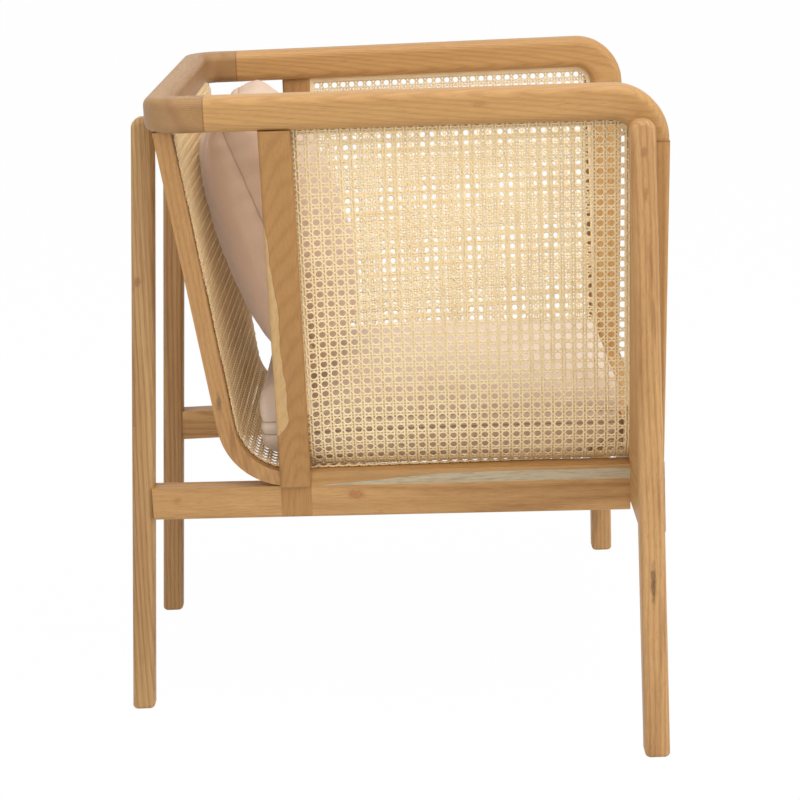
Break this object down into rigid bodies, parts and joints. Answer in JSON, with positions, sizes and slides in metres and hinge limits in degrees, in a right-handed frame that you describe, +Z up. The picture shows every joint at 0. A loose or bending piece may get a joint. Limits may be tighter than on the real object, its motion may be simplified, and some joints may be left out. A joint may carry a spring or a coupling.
{
  "type": "rattan armchair",
  "caption": "Low wooden armchair with rounded arms, splayed front legs, woven cane sides, a bent cane seat shell and loose cushions.",
  "frame": {"origin": "on the floor under the middle of the chair's footprint", "axes": "+X to the sitter's left, +Y to the back, +Z up; the sitter faces -Y"},
  "size_m": [0.7712, 0.6399, 0.74],
  "materials": {
    "frame_wood": "satin natural teak with visible grain, knots and pale sapwood",
    "woven_cane": "open woven cane webbing, natural and satin",
    "cane_reed": "plain reed, satin",
    "dowel_wood": "plain hardwood dowel",
    "cushion_cloth": "soft matt taupe cloth with sewn seams"
  },
  "bodies": {
    "frame": {"back_rail": "frame_wood", "front_apron": "frame_wood", "seat_bearer": "frame_wood", "left_arm": "frame_wood", "left_front_leg": "frame_wood", "left_front_post": "frame_wood", "left_back_leg": "frame_wood", "left_lower_rail": "frame_wood", "left_upright": "frame_wood", "left_shell_side": "frame_wood", "left_seat_strip": "frame_wood", "left_side_cane": "woven_cane", "left_side_spline": "cane_reed", "right_arm": "frame_wood", "right_front_leg": "frame_wood", "right_front_post": "frame_wood", "right_back_leg": "frame_wood", "right_lower_rail": "frame_wood", "right_upright": "frame_wood", "right_shell_side": "frame_wood", "right_seat_strip": "frame_wood", "right_side_cane": "woven_cane", "right_side_spline": "cane_reed", "shell_cane": "woven_cane", "arm_dowels": "dowel_wood", "post_dowels": "dowel_wood", "front_leg_dowels": "dowel_wood", "apron_dowels": "dowel_wood", "back_leg_dowels": "dowel_wood", "upright_dowels": "dowel_wood"},
    "seat_pad": {"seat_cushion": "cushion_cloth"},
    "back_pad": {"back_cushion": "cushion_cloth"}
  },
  "joints": [
    {"name": "seat_cushion_lift", "type": "slide", "parent": "frame", "child": "seat_pad", "axis": [0, 0, 1], "range_m": [0, 0.45]},
    {"name": "back_cushion_lift", "type": "slide", "parent": "seat_pad", "child": "back_pad", "axis": [0, 0, 1], "range_m": [0, 0.4]}
  ]
}
